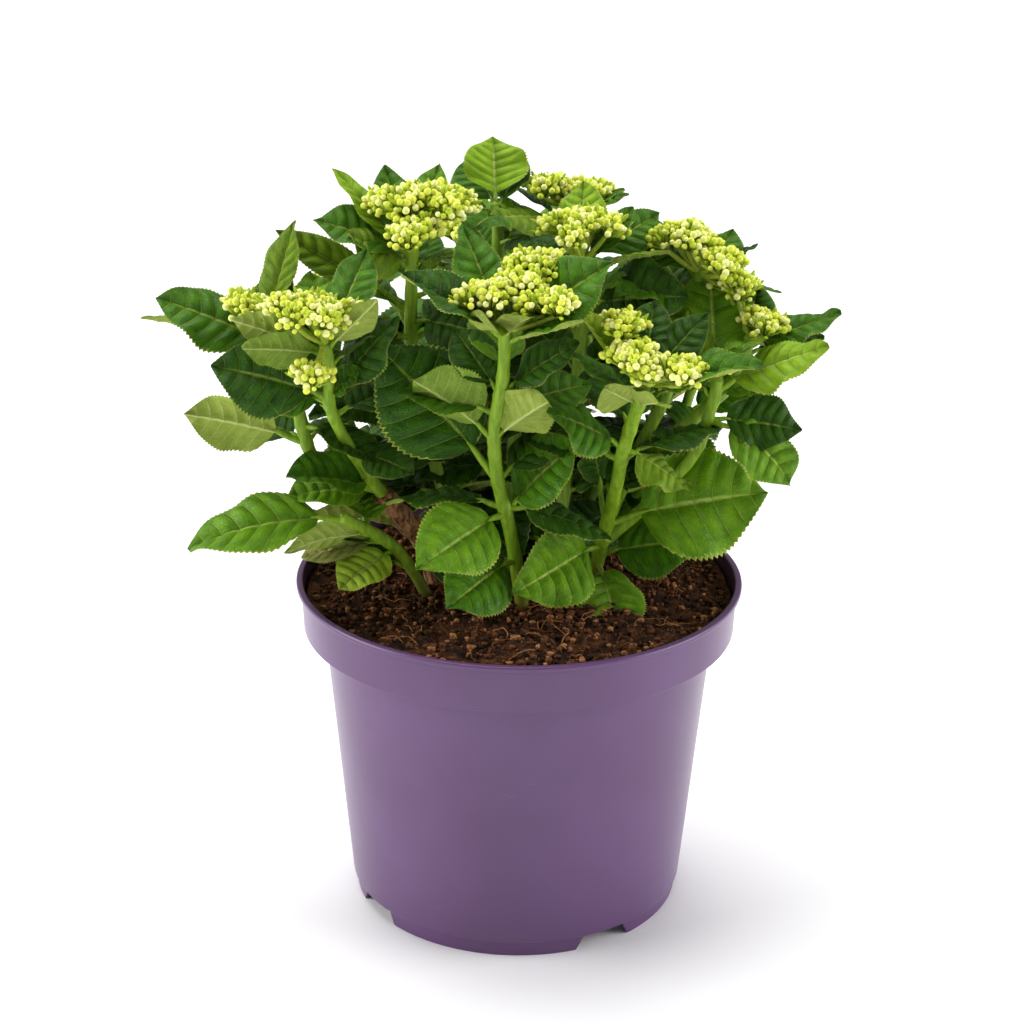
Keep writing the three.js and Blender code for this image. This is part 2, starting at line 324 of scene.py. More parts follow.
class Heap:
    """Collects grids and faces of many small shapes, to be joined into one piece."""

    def __init__(self, name, materials):
        self.name = name
        self.materials = materials
        self.points, self.faces, self.slots = [], [], []
        self.blade, self.tile, self.sharp = [], [], []
        self.count = 0

    def add(self, points, faces, slot=0, blade=None, rim=None):
        points = np.asarray(points, float)
        faces = np.asarray(faces, int)
        self.points.append(points)
        self.faces.append(faces + self.count)
        self.slots.append(np.broadcast_to(slot, len(faces)))
        self.blade.append(np.zeros((len(points), 2)) if blade is None else blade)
        self.sharp.append(np.zeros(len(points), bool) if rim is None else rim)
        self.count += len(points)

    def mesh(self, smooth=True, tiled=False):
        points = np.concatenate(self.points) * MM
        listed = [face for faces in self.faces for face in faces.tolist()]
        mesh = bpy.data.meshes.new(self.name)
        mesh.from_pydata(points.tolist(), [], listed)
        for made in self.materials:
            mesh.materials.append(made)
        slots = np.concatenate(self.slots).astype(np.int32)
        mesh.polygons.foreach_set("material_index", slots)
        mesh.polygons.foreach_set("use_smooth", np.full(len(mesh.polygons), smooth))
        if tiled:
            self.lay_tiles(mesh, slots)
        rim = np.concatenate(self.sharp)
        if rim.any():
            ends = np.empty(2 * len(mesh.edges), np.int32)
            mesh.edges.foreach_get("vertices", ends)
            both = rim[ends.reshape(-1, 2)].all(1)
            sharp = mesh.attributes.new("sharp_edge", "BOOLEAN", "EDGE")
            sharp.data.foreach_set("value", both)
        mesh.update()
        return mesh

    def piece(self, slot_name, replaces=(), smooth=True, tiled=False):
        piece = bpy.data.objects.new(self.name, self.mesh(smooth, tiled))
        bpy.context.collection.objects.link(piece)
        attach(piece, BODY)
        if replaces:
            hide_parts(*replaces)
        return piece

    def lay_tiles(self, mesh, slots):
        """Blade coordinates for the pattern, and a second map with one tile for each material."""
        corners = np.empty(len(mesh.loops), np.int32)
        mesh.loops.foreach_get("vertex_index", corners)
        blade = np.concatenate(self.blade)[corners]
        totals = np.empty(len(mesh.polygons), np.int32)
        mesh.polygons.foreach_get("loop_total", totals)
        slot = np.repeat(slots, totals)
        columns = math.ceil(math.sqrt(len(self.materials)))
        rows = math.ceil(len(self.materials) / columns)
        margin = 0.03
        inner = margin + blade * (1 - 2 * margin)
        tiled = np.stack([(slot % columns + inner[:, 0]) / columns,
                          (slot // columns + inner[:, 1]) / rows], 1)
        for name, values in (("blade", blade), ("OFBake", tiled)):
            layer = mesh.uv_layers.new(name=name)
            layer.data.foreach_set("uv", values.ravel())


def unit(vector):
    return vector / max(np.linalg.norm(vector), 1e-9)


def heading(azimuth, rise):
    """A direction: azimuth in degrees from the front (-Y) towards +X, and rise above level."""
    a, r = math.radians(azimuth), math.radians(rise)
    return np.array([math.cos(r) * math.sin(a), -math.cos(r) * math.cos(a), math.sin(r)])


def grid_faces(rows, columns, closed=False):
    """Quads of a grid of points, round its columns if closed."""
    i, j = np.meshgrid(np.arange(rows - 1), np.arange(columns if closed else columns - 1), indexing="ij")
    k = (j + 1) % columns
    return np.stack([i * columns + j, i * columns + k, (i + 1) * columns + k, (i + 1) * columns + j],
                    -1).reshape(-1, 4)


def closed_faces(rows, sides):
    """Triangles round a closed grid of points, and two caps to the two end points that follow it."""
    quads = grid_faces(rows, sides, closed=True)
    here = np.arange(sides)
    nxt = (here + 1) % sides
    last, end = (rows - 1) * sides, rows * sides
    return np.vstack([quads[:, [0, 1, 2]], quads[:, [0, 2, 3]],
                      np.stack([nxt, here, np.full(sides, end)], 1),
                      np.stack([last + here, last + nxt, np.full(sides, end + 1)], 1)])


def smooth_path(points, steps):
    """A Catmull-Rom curve through the points."""
    p = np.asarray(points, float)
    p = np.vstack([2 * p[0] - p[1], p, 2 * p[-1] - p[-2]])
    made = []
    for k in range(1, len(p) - 2):
        t = np.linspace(0, 1, steps, endpoint=k == len(p) - 3)[:, None]
        made.append(0.5 * (2 * p[k] + (p[k + 1] - p[k - 1]) * t
                           + (2 * p[k - 1] - 5 * p[k] + 4 * p[k + 1] - p[k + 2]) * t**2
                           + (3 * p[k] - p[k - 1] - 3 * p[k + 1] + p[k + 2]) * t**3))
    return np.vstack(made)


def tube(heap, path, radii, sides=10, slot=0, relief=None):
    """A closed tube along a path, with slightly drawn-out ends. relief(share along, angle) swells it."""
    path = np.asarray(path, float)
    radii = np.broadcast_to(np.asarray(radii, float), len(path))
    along = np.gradient(path, axis=0)
    along /= np.linalg.norm(along, axis=1)[:, None]
    side = unit(np.cross(along[0], [0.3, 0.2, 1.0]))
    sides_at = []
    for direction in along:
        side = unit(side - direction * (side @ direction))
        sides_at.append(side)
    first = np.array(sides_at)
    second = np.cross(along, first)
    angle = np.linspace(0, 2 * np.pi, sides, endpoint=False)
    turn_across, turn_up = np.cos(angle)[None, :, None], np.sin(angle)[None, :, None]
    ring = first[:, None] * turn_across + second[:, None] * turn_up
    size = radii[:, None] * np.ones(sides)[None]
    if relief is not None:
        size = size * relief(np.linspace(0, 1, len(path))[:, None], angle[None])
    points = (path[:, None] + ring * size[..., None]).reshape(-1, 3)
    ends = np.array([path[0] - along[0] * radii[0] * 0.4, path[-1] + along[-1] * radii[-1] * 0.4])
    heap.add(np.vstack([points, ends]), closed_faces(len(path), sides), slot)


# ---------------------------------------------------------------- leaves

LEAF_ROWS, FILLER_ROWS = 49, 35  # rows of points along a blade, always an odd number
LEAF_COLUMNS = np.array([-1, -0.87, -0.7, -0.5, -0.3, -0.13, -0.04, 0.04, 0.13, 0.3, 0.5, 0.7, 0.87, 1])
BLADE_THICKNESS = 0.32
RIB_THICKNESS = 1.5


def blade_outline(along):
    """Half width of a broad oval blade with a short drawn-out tip, as a share of its widest place."""
    oval = np.sin(np.pi * along**0.86) ** 0.74
    return oval * (1 - 0.5 * np.exp(-(1 - along) / 0.1))


def blade_points(rows, length, width, fold, cup, bend, wave, twist, phase):
    """The upper face of a blade with its base at the origin, its rib along +Y and its upper side +Z, and the
    along and across shares of its points.
    """
    u = np.linspace(0.004, 0.996, rows)[:, None]
    v = LEAF_COLUMNS[None]
    slant = 0.62 * np.abs(v) ** 1.25 * (1 - u) * u**0.4
    y = u + slant * 0.62
    half = 0.5 * width * blade_outline(np.clip(y, 0.002, 0.998))
    tooth = np.where(np.arange(rows)[:, None] % 2 == 0, 1.0, -0.6) * (np.abs(v) > 0.99)
    tooth = tooth * (1 - u) ** 0.3
    x = v * half * (1 + 0.045 * tooth)
    y = y + 0.006 * tooth
    quilt = np.sin(np.pi * ((u * VEIN_COUNT) % 1.0)) ** 0.7
    quilt = quilt * np.sin(np.pi * np.abs(v) ** 0.8).clip(0) ** 0.6 * np.sin(np.pi * np.clip(y, 0, 1)) ** 0.4
    gutter = np.exp(-((v / 0.12) ** 2))
    z = length * (0.032 * quilt - 0.02 * gutter)
    z = z + fold * np.abs(x) + cup * x**2 / (0.5 * width)
    ripple = np.sin(2 * np.pi * (1.7 * y + phase) + np.where(v > 0, 0.0, 1.9))
    ripple = ripple + 0.5 * np.sin(2 * np.pi * (3.1 * y - 2 * phase) + np.where(v > 0, 1.1, 0.0))
    z = z + wave * np.abs(v) ** 1.6 * width * 0.5 * ripple
    turn = twist * y
    x, z = x * np.cos(turn) - z * np.sin(turn), x * np.sin(turn) + z * np.cos(turn)
    # The rib bends down more and more towards the tip.
    fine = np.linspace(0, 1, 65)
    angle = bend * fine**1.4
    run = np.concatenate([[0], np.cumsum((np.cos(angle)[1:] + np.cos(angle)[:-1]) / 2)]) / 64 * length
    fall = np.concatenate([[0], np.cumsum((np.sin(angle)[1:] + np.sin(angle)[:-1]) / 2)]) / 64 * length
    at = np.clip(y, 0, 1)
    tilt = bend * at**1.4
    top = np.stack([x, np.interp(at, fine, run) + z * np.sin(tilt),
                    -np.interp(at, fine, fall) + z * np.cos(tilt)], -1)
    return top, np.broadcast_to(u, x.shape), np.broadcast_to(v, x.shape)


def grid_normals(points):
    across = np.gradient(points, axis=1)
    along = np.gradient(points, axis=0)
    normal = np.cross(across, along)
    return normal / np.maximum(np.linalg.norm(normal, axis=-1, keepdims=True), 1e-9)


def add_blade(heap, place, frame_axes, slots, **shape):
    """One closed leaf blade: an upper face, a lower face with a raised rib, and a shared rim."""
    top, u, v = blade_points(**shape)
    rows, columns = u.shape
    rib = np.exp(-((v / 0.06) ** 2)) * (1 - 0.8 * u) * shape["length"] / 80
    thick = BLADE_THICKNESS + RIB_THICKNESS * rib
    low = top - grid_normals(top) * thick[..., None]
    inner = np.zeros((rows, columns), bool)
    inner[1:-1, 1:-1] = True
    number = np.full(rows * columns, -1)
    number[inner.ravel()] = rows * columns + np.arange(inner.sum())
    under = np.where(number >= 0, number, np.arange(rows * columns))
    upper_faces = grid_faces(rows, columns)
    lower_faces = under[upper_faces][:, ::-1]
    points = np.vstack([top.reshape(-1, 3), low[inner]])
    right, forward, up = frame_axes
    world = place + points @ np.array([right, forward, up])
    uv = np.stack([v * 0.5 + 0.5, u], -1).reshape(-1, 2)
    uv = np.vstack([uv, uv[inner.ravel()]])
    rim = np.concatenate([~inner.ravel(), np.zeros(inner.sum(), bool)])
    faces = np.vstack([upper_faces, lower_faces])
    slot = np.repeat([slots[0], slots[1]], len(upper_faces))
    heap.add(world, faces, slot, uv, rim)


LEAF_MATERIALS = list(LEAF_TONES.values()) + list(UNDER_TONES.values())
LEAF_SLOT = {name: i for i, name in enumerate([*LEAF_TONES, *UNDER_TONES])}


def add_leaf(leaves, stalks, start, azimuth, rise, length, width, face, bend, tone, chance,
             fold=None, stalk=None, rows=LEAF_ROWS):
    """A leaf on its stalk. length runs from the shoot to the tip. face turns its upper side to the front."""
    out = heading(azimuth, rise)
    stalk = stalk or min(14.0, 0.18 * length)
    fold = fold or chance.uniform(0.05, 0.35)
    right = unit(np.cross(out, [0, 0, 1.0]))
    up = np.cross(right, out)
    front = np.array([0, -1.0, 0])
    sideways = right if right @ front >= 0 else -right
    up = unit(up * math.cos(math.radians(face)) + sideways * math.sin(math.radians(face)))
    right = np.cross(out, up)
    # The stalk leaves the shoot a little steeper than the blade does.
    lift = unit(out + np.array([0, 0, 0.35]))
    base = start + lift * stalk * 0.5 + out * stalk * 0.5
    swell = np.linspace(0, 1, 7)
    thick = 1.75 * (length / 75) ** 0.5
    path = start + np.outer(swell, base - start) + np.outer(np.sin(swell * np.pi), up) * -0.05 * stalk
    path = np.vstack([path, base + out * length * 0.06])
    radii = np.append(thick * (1.25 - 0.45 * swell), thick * 0.35)
    tube(stalks, path, radii, sides=8)
    under = "green" if tone in ("lime", "fresh") and chance.random() < 0.5 else "sage"
    add_blade(leaves, base, (right, out, up), (LEAF_SLOT[tone], LEAF_SLOT[under]),
              rows=rows, length=length - stalk, width=1.1 * width * (length - stalk), fold=fold,
              cup=chance.uniform(-0.4, 0.05), bend=math.radians(bend), wave=chance.uniform(0.04, 0.13),
              twist=chance.uniform(-0.35, 0.35), phase=chance.random())


# ---------------------------------------------------------------- flower heads

BUD_RADIUS = 1.85
LOBE_SPACE, LOBE_RADII = 62, (7.4, 9.2)
LEAFY_BUDS = 0.15
BUD_SIDES, BUD_RINGS = 8, 5


def bud_shape():
    """A round bud with a slightly drawn-out tip: its points and triangles."""
    tilt = np.linspace(0, np.pi, BUD_RINGS + 1)[1:-1]
    turn = np.linspace(0, 2 * np.pi, BUD_SIDES, endpoint=False)
    ring = np.stack([np.outer(np.sin(tilt), np.cos(turn)), np.outer(np.sin(tilt), np.sin(turn)),
                     np.outer(-np.cos(tilt), np.ones(BUD_SIDES))], -1).reshape(-1, 3)
    points = np.vstack([ring, [[0, 0, -1.0], [0, 0, 1.12]]])
    return points, closed_faces(BUD_RINGS - 1, BUD_SIDES)


BUD_POINTS, BUD_FACES = bud_shape()
GOLDEN_ANGLE = math.pi * (3 - math.sqrt(5))


def add_bud(buds, place, out, radius, chance):
    """One bud, or now and then a longer leafy one."""
    leafy = chance.random() < LEAFY_BUDS
    slot = 3 if leafy else chance.choices([0, 1, 2], [4, 5, 2])[0]
    side = unit(np.cross(out, [0.1, 0.9, 0.3]))
    axes = np.array([side, np.cross(out, side), out])
    stretch = np.array([0.55, 0.5, 1.7]) if leafy else np.array([1, 1, chance.uniform(0.95, 1.15)])
    buds.add(place + (BUD_POINTS * stretch * radius) @ axes, BUD_FACES, slot)


def add_lobe(buds, stalks, top, middle, out, radius, chance):
    """One ray from the shoot's tip, and a low dome of buds on short stalks at its end."""
    fork = middle - out * radius * 1.05
    ray = smooth_path([top, top * 0.45 + fork * 0.55 - [0, 0, 1.0], fork], 5)
    tube(stalks, ray, np.linspace(1.6, 1.1, len(ray)), sides=7)
    count = int((radius / BUD_RADIUS) ** 2 * 1.25)
    side = unit(np.cross(out, [0.2, 1.0, 0.1]))
    across = np.cross(out, side)
    for i in range(count):
        reach = radius * math.sqrt((i + 0.6) / count)
        angle = i * GOLDEN_ANGLE + chance.uniform(-0.25, 0.25)
        height = 0.62 * radius * (1 - (reach / radius) ** 2) - 0.35 * radius + chance.gauss(0, 0.9)
        flat = side * math.cos(angle) + across * math.sin(angle)
        place = middle + flat * reach * chance.uniform(0.9, 1.08) + out * height
        away = unit(place - fork)
        size = BUD_RADIUS * chance.uniform(0.62, 1.1)
        add_bud(buds, place, away, size, chance)
        tube(stalks, [fork + away * 0.8, place - away * size * 0.7], [0.55, 0.5], sides=3)


def add_head(buds, stalks, top, patches, chance):
    """A domed head. Each patch is an oval of lobes: its middle, half width, half depth and dome."""
    for centre, half_width, half_depth, dome in patches:
        centre = np.asarray(centre, float)
        count = max(1, round(half_width * half_depth / LOBE_SPACE))
        inner = max(1.0, math.sqrt(count) * 0.95)
        for i in range(count):
            reach = math.sqrt((i + 0.35) / count) * (1 - 0.6 / inner) if count > 1 else 0
            angle = i * GOLDEN_ANGLE + chance.uniform(-0.2, 0.2)
            dx, dy = half_width * reach * math.cos(angle), half_depth * reach * math.sin(angle)
            middle = centre + [dx, dy, dome * (0.5 - reach**2) + chance.gauss(0, 0.8)]
            out = unit(np.array([dx, dy, 24.0]) + [0, -3.0, 0])
            radius = min(half_width, half_depth) if count == 1 else chance.uniform(*LOBE_RADII)
            add_lobe(buds, stalks, top, middle, out, radius, chance)


# ---------------------------------------------------------------- shoots
# Each leaf: height of its joint, azimuth, rise, length, width share, face to the front, bend, tone, and now
# and then its fold and its stalk's length.

SOIL_FOOT = 160
SHOOTS = {}


def shoot(name, group, radii, pairs, path, heads=(), leaves=()):
    """Notes one shoot: its radius at foot and tip, its filling pairs (lowest, highest, count, leaf length),
    the points it runs through, its flower patches and the leaves placed on it one by one."""
    SHOOTS[name] = {"group": group, "radii": radii, "pairs": pairs,
                    "path": path, "heads": list(heads), "leaves": list(leaves)}


shoot("front_center", "front_center", (3.51, 2.88), (228, 300, 4, 56),
      [(3, -28, SOIL_FOOT), (-4, -35, 209), (-11, -43, 243), (-13, -48, 271), (-9, -54, 300),
       (-8, -57, 324)],
      heads=[((8, -38, 352), 22, 15, 5), ((-16, -58, 342), 20, 15, 5), ((14, -64, 340), 20, 14, 5),
             ((0, -52, 346), 18, 14, 4)],
      leaves=[
    (197, -30, -10, 60, 0.66, 35, 20, "deep"),
    (224, -35, -13, 68, 0.66, 45, 20, "mid"),
    (224, 75, 45, 54, 0.85, 42, 15, "deep", {"fold": 0.5}),
    (243, -95, 44, 88, 0.74, 62, 10, "dark", {"fold": 0.08, "stalk": 20}),
    (243, 120, 25, 50, 0.6, 20, 20, "dark"),
    (266, -80, 36, 52, 0.85, -56, 10, "fresh", {"stalk": 12, "fold": 0.45}),
    (266, 62, 36, 40, 0.85, -58, 10, "fresh", {"fold": 0.45}),
    (290, 80, 35, 48, 0.55, 30, 10, "dark"),
    (290, -120, 45, 40, 0.7, 30, 10, "dark"),
    (320, -85, 31, 58, 0.62, 15, 5, "dark", {"fold": 0.6}),
    (320, 95, 34, 62, 0.66, 35, 5, "deep"),
    (318, 60, 22, 46, 0.55, 10, -10, "deep", {"fold": 0.6}),
    (321, -38, 38, 28, 0.9, 0, -20, "olive"),
    (321, 30, 32, 28, 0.9, 0, 10, "olive"),
    (322, -150, 45, 60, 0.5, 20, 0, "deep"),
    (322, 170, 25, 46, 0.55, 0, 10, "mid"),
])
shoot("front_right", "front_right", (3.6, 3.06), (230, 290, 4, 52),
      [(36, 4, SOIL_FOOT), (41, -10, 193), (47, -35, 236), (50, -47, 262), (56, -60, 290),
       (58, -66, 302)],
      heads=[((46, -56, 328), 15, 16, 5), ((50, -72, 318), 17, 15, 5), ((72, -80, 312), 23, 14, 5)],
      leaves=[
    (197, -36, -11, 68, 0.66, 52, 20, "mid"),
    (186, 14, -34, 54, 0.72, 10, 20, "mid"),
    (190, 70, 11, 57, 0.72, 50, 15, "deep"),
    (212, 78, 7, 84, 0.8, 58, 24, "mid", {"fold": 0.06, "stalk": 18}),
    (212, -60, 76, 50, 0.85, 70, 5, "dark", {"stalk": 24}),
    (262, -65, 27, 48, 0.85, 32, 15, "deep"),
    (262, 70, -30, 38, 0.9, 10, 15, "olive"),
    (290, 65, 22, 67, 0.55, 15, 10, "deep", {"fold": 0.6}),
    (288, -50, 30, 26, 1.1, -45, 0, "fresh"),
    (288, 20, 20, 26, 0.9, -20, 0, "fresh"),
    (296, -105, 48, 52, 0.34, 30, 0, "lime", {"fold": 0.7}),
    (300, 120, 38, 48, 0.5, 20, 10, "dark"),
    (300, 170, 45, 46, 0.6, 0, 5, "dark"),
])
shoot("right_low", "crown_right", (3.24, 2.7), (225, 280, 2, 50),
      [(42, -12, 198), (66, -14, 222), (86, -22, 250), (94, -28, 280), (96, -30, 292)],
      heads=[((97, -30, 301), 9, 7, 2)],
      leaves=[
    (270, 64, -43, 55, 0.72, 20, 55, "mid", {"stalk": 12}),
    (270, 82, -8, 47, 0.75, 40, 12, "dark", {"fold": 0.3}),
    (285, -178, 45, 68, 0.78, 0, 10, "mid", {"fold": 0.08}),
    (286, 72, 25, 61, 0.58, 30, 10, "fresh"),
    (285, -150, 52, 46, 0.35, 0, 0, "olive", {"fold": 0.6}),
    (256, -60, 15, 30, 0.7, 10, 20, "dark"),
])
shoot("far_right", "crown_right", (3.6, 2.88), (248, 300, 3, 48),
      [(58, 20, 229), (84, 6, 256), (104, -6, 282), (110, -10, 300), (112, -10, 308)],
      heads=[((106, 2, 332), 18, 15, 5), ((119, -14, 317), 16, 15, 5)],
      leaves=[
    (302, 88, 20, 50, 0.6, 25, 5, "deep"),
    (298, 97, 8, 42, 0.6, 10, 10, "dark"),
    (304, 165, 40, 36, 0.7, 0, 5, "deep"),
    (280, 100, 0, 32, 0.7, 10, 20, "deep"),
    (304, -10, 10, 36, 0.6, 0, 15, "mid"),
    (280, -80, 10, 42, 0.6, 0, 20, "dark"),
])
shoot("left_front", "front_left", (3.06, 2.61), (236, 302, 3, 46),
      [(-66, -16, 221), (-77, -24, 240), (-88, -34, 264), (-93, -41, 282), (-92, -46, 300),
       (-94, -48, 314)],
      heads=[((-100, -50, 331), 34, 22, 9), ((-98, -66, 305), 16, 12, 4)],
      leaves=[
    (228, -72, -3, 48, 0.85, 25, 20, "mid"),
    (229, -62, 14, 52, 0.75, 25, 10, "deep", {"fold": 0.5}),
    (284, -75, 14, 60, 0.74, 50, 18, "dark"),
    (284, 90, 49, 54, 0.55, 40, 5, "dark"),
    (282, -75, 7, 38, 0.7, 30, 15, "deep"),
    (284, 70, 44, 24, 0.8, 45, 10, "deep"),
    (308, -75, 5, 42, 0.6, -65, 10, "fresh"),
    (309, -88, 18, 48, 0.5, -62, 5, "fresh"),
    (310, 60, 44, 42, 0.5, -50, 0, "olive"),
    (312, 145, 50, 53, 0.6, 0, 0, "deep"),
    (312, -165, 38, 44, 0.7, 0, 0, "mid"),
    (312, -150, 25, 46, 0.6, 0, 0, "mid"),
    (252, 60, -12, 36, 0.8, 20, 20, "dark"),
])
shoot("left", "crown_left", (3.6, 2.88), (222, 296, 4, 44),
      [(-58, -9, 209), (-84, -10, 224), (-104, -15, 244), (-112, -17, 278), (-118, -18, 300),
       (-128, -22, 316)],
      heads=[((-134, -25, 327), 14, 15, 5)],
      leaves=[
    (252, -85, 11, 63, 0.64, -70, 10, "fresh", {"stalk": 16, "fold": 0.15}),
    (262, 60, -20, 50, 0.6, 0, 20, "dark"),
    (301, -87, 20, 66, 0.6, 40, 14, "deep"),
    (298, -97, 11, 73, 0.35, -20, 10, "mid"),
    (312, 153, 58, 57, 0.42, 0, 0, "olive"),
    (310, 165, 45, 38, 0.55, 0, 0, "dark"),
    (312, -170, 20, 38, 0.7, 0, 0, "mid"),
    (290, 150, 10, 46, 0.6, 0, 20, "deep"),
])
shoot("low_left", "front_left", (3.06, 2.61), (186, 212, 2, 40),
      [(-42, -16, SOIL_FOOT), (-58, -21, 192), (-72, -28, 208), (-88, -38, 221)],
      leaves=[
    (198, -45, -20, 40, 0.8, 15, 15, "lime"),
    (198, -110, 0, 40, 0.75, 0, 20, "dark"),
    (219, -75, -18, 84, 0.47, 36, 46, "mid", {"fold": 0.35}),
    (208, -86, -17, 48, 0.5, -60, 30, "lime"),
    (203, -90, -27, 48, 0.45, 50, 40, "withered", {"fold": 0.7}),
])
shoot("top_left", "crown_left", (3.6, 2.7), (182, 325, 7, 60),
      [(-20, 4, SOIL_FOOT), (-40, 8, 220), (-54, 6, 280), (-55, 4, 330), (-54, 2, 350)],
      heads=[((-50, 4, 372), 34, 20, 8), ((-54, -16, 361), 20, 13, 5)],
      leaves=[
    (314, -98, 26, 79, 0.3, 60, 5, "olive", {"stalk": 22, "fold": 0.5}),
    (300, -80, 12, 46, 0.65, 10, 15, "dark"),
    (344, -85, 18, 52, 0.7, 22, 12, "deep"),
    (342, -115, 42, 60, 0.36, 10, 0, "fresh"),
    (344, -155, 45, 52, 0.55, 0, 0, "deep"),
    (336, -60, 30, 41, 0.95, 30, 15, "olive"),
    (338, 70, 15, 30, 0.7, 10, 15, "olive"),
    (346, 158, 46, 50, 0.5, 0, 5, "mid"),
    (300, 100, 10, 58, 0.6, 20, 20, "dark"),
    (264, -60, 0, 62, 0.6, 20, 20, "dark"),
    (264, 120, 0, 60, 0.6, 0, 20, "dark"),
    (310, 60, -8, 50, 0.8, 30, 20, "dark"),
    (302, -40, -12, 46, 0.8, 30, 20, "dark"),
    (322, 95, 2, 50, 0.7, 40, 15, "deep"),
])
shoot("middle", "crown_middle", (3.6, 2.7), (192, 320, 7, 62),
      [(14, -14, SOIL_FOOT), (22, -4, 220), (28, 2, 280), (30, 4, 330), (29, 2, 342)],
      heads=[((30, 0, 361), 27, 23, 8)],
      leaves=[
    (336, -35, 0, 44, 0.6, 0, 15, "olive"),
    (336, 75, 15, 46, 0.6, -10, 10, "olive"),
    (340, 105, 46, 38, 0.65, 10, 0, "deep"),
    (342, 178, 45, 46, 0.6, 0, 0, "fresh"),
    (338, -130, 0, 42, 0.6, 0, 5, "deep"),
    (340, 124, 20, 52, 0.62, 20, 8, "deep"),
    (318, 75, 6, 54, 0.9, 42, 15, "dark", {"fold": 0.1}),
    (318, -80, 5, 50, 0.6, 20, 15, "dark"),
    (290, 30, -20, 56, 0.6, 0, 20, "dark"),
    (290, -150, -10, 56, 0.6, 0, 20, "dark"),
])
shoot("right", "crown_right", (3.6, 2.79), (182, 318, 7, 58),
      [(34, 24, SOIL_FOOT), (56, 20, 225), (76, 16, 275), (86, 14, 320), (88, 12, 334)],
      heads=[((80, 14, 352), 22, 20, 8), ((96, -2, 345), 18, 15, 5), ((106, -8, 336), 12, 11, 3)],
      leaves=[
    (322, -60, 5, 48, 0.75, 20, 15, "deep"),
    (330, -130, 36, 44, 0.6, 0, 0, "deep"),
    (332, 170, 5, 40, 0.55, 0, 0, "deep"),
    (326, 70, 0, 44, 0.6, 0, 15, "deep"),
    (330, 110, 25, 36, 0.6, 0, 5, "dark"),
    (300, -20, -15, 58, 0.6, 10, 20, "dark"),
    (300, 160, -5, 58, 0.6, 0, 20, "dark"),
    (332, -118, 32, 40, 0.8, 20, 5, "deep"),
])
shoot("top", "crown_middle", (3.6, 2.7), (184, 335, 6, 58),
      [(-4, 14, SOIL_FOOT), (-4, 24, 230), (6, 42, 300), (18, 56, 345), (22, 58, 356)],
      heads=[((12, 56, 368), 18, 14, 3), ((34, 60, 364), 22, 15, 4)],
      leaves=[
    (348, -50, 8, 45, 0.85, 15, 15, "olive"),
    (350, 80, 20, 38, 0.6, 0, 5, "deep"),
    (350, -110, 25, 32, 0.6, 0, 5, "deep"),
    (350, 165, -5, 44, 0.6, 0, 10, "mid"),
    (320, 100, 5, 58, 0.6, 0, 20, "deep"),
    (320, -60, 0, 58, 0.6, 20, 20, "dark"),
])
shoot("crest", "crown_middle", (3.42, 2.7), (250, 330, 4, 54),
      [(-5, 30, 240), (-10, 40, 300), (-13, 44, 350), (-14, 45, 360)],
      leaves=[
    (358, -176, 50, 40, 0.95, 0, 0, "fresh", {"fold": 0.35}),
    (356, -155, 30, 40, 0.95, 10, 10, "deep"),
    (357, 150, 34, 36, 0.65, 0, 0, "deep"),
    (354, -15, 0, 46, 0.7, 15, 15, "deep"),
    (354, -80, 20, 32, 0.7, 10, 10, "deep"),
    (340, 40, 5, 50, 0.6, 10, 15, "dark"),
    (320, -130, 5, 56, 0.6, 0, 20, "dark"),
])
shoot("back_left", "back_left", (3.78, 2.7), (205, 292, 6, 72),
      [(-28, 22, SOIL_FOOT), (-54, 46, 215), (-78, 62, 258), (-90, 70, 284), (-93, 72, 294)],
      heads=[((-94, 74, 310), 26, 22, 7)])
shoot("back", "back_right", (3.78, 2.7), (215, 310, 7, 74),
      [(-6, 34, SOIL_FOOT), (-12, 66, 215), (-16, 92, 262), (-19, 106, 300), (-20, 110, 314)],
      heads=[((-20, 110, 331), 27, 22, 7)])
shoot("back_right", "back_right", (3.78, 2.7), (205, 302, 6, 72),
      [(18, 30, SOIL_FOOT), (44, 54, 215), (64, 74, 262), (76, 86, 294), (79, 90, 306)],
      heads=[((80, 90, 323), 26, 21, 7)])
shoot("low_back", "back_left", (3.6, 2.7), (182, 262, 6, 68),
      [(-22, 30, SOIL_FOOT), (-28, 54, 200), (-40, 76, 240), (-48, 90, 266)])
shoot("low_back_right", "back_right", (3.6, 2.7), (182, 272, 6, 66),
      [(10, 36, SOIL_FOOT), (22, 60, 200), (30, 84, 244), (36, 98, 274)])
shoot("side_right", "back_right", (3.42, 2.61), (188, 262, 5, 58),
      [(34, 26, SOIL_FOOT), (62, 36, 206), (82, 44, 240), (90, 48, 264)])
shoot("side_left", "back_left", (3.42, 2.61), (188, 262, 5, 56),
      [(-40, 20, SOIL_FOOT), (-68, 32, 206), (-88, 38, 240), (-94, 40, 262)])

GROUP_MASSES = {
    "front_left": ("foliage_front_left", "foliage_low_left"),
    "front_center": ("foliage_front_center", "foliage_low_center"),
    "front_right": ("foliage_front_right", "foliage_low_right"),
    "crown_left": ("foliage_left", "foliage_top_left"),
    "crown_middle": ("foliage_middle", "foliage_top"),
    "crown_right": ("foliage_right", "foliage_far_right", "foliage_right_low"),
    "back_left": ("foliage_back_left", "foliage_low_back"),
    "back_right": ("foliage_back", "foliage_back_right"),
}
JOINT_SWELL = 0.4
STEM_NODES = ("stem_front_center", "stem_front_right", "stem_left_front", "stem_left", "stem_low_left",
              "stem_top_left", "stem_middle", "stem_top", "stem_right", "stem_far_right", "stem_right_low",
              "stem_back_left", "stem_back", "stem_back_right")


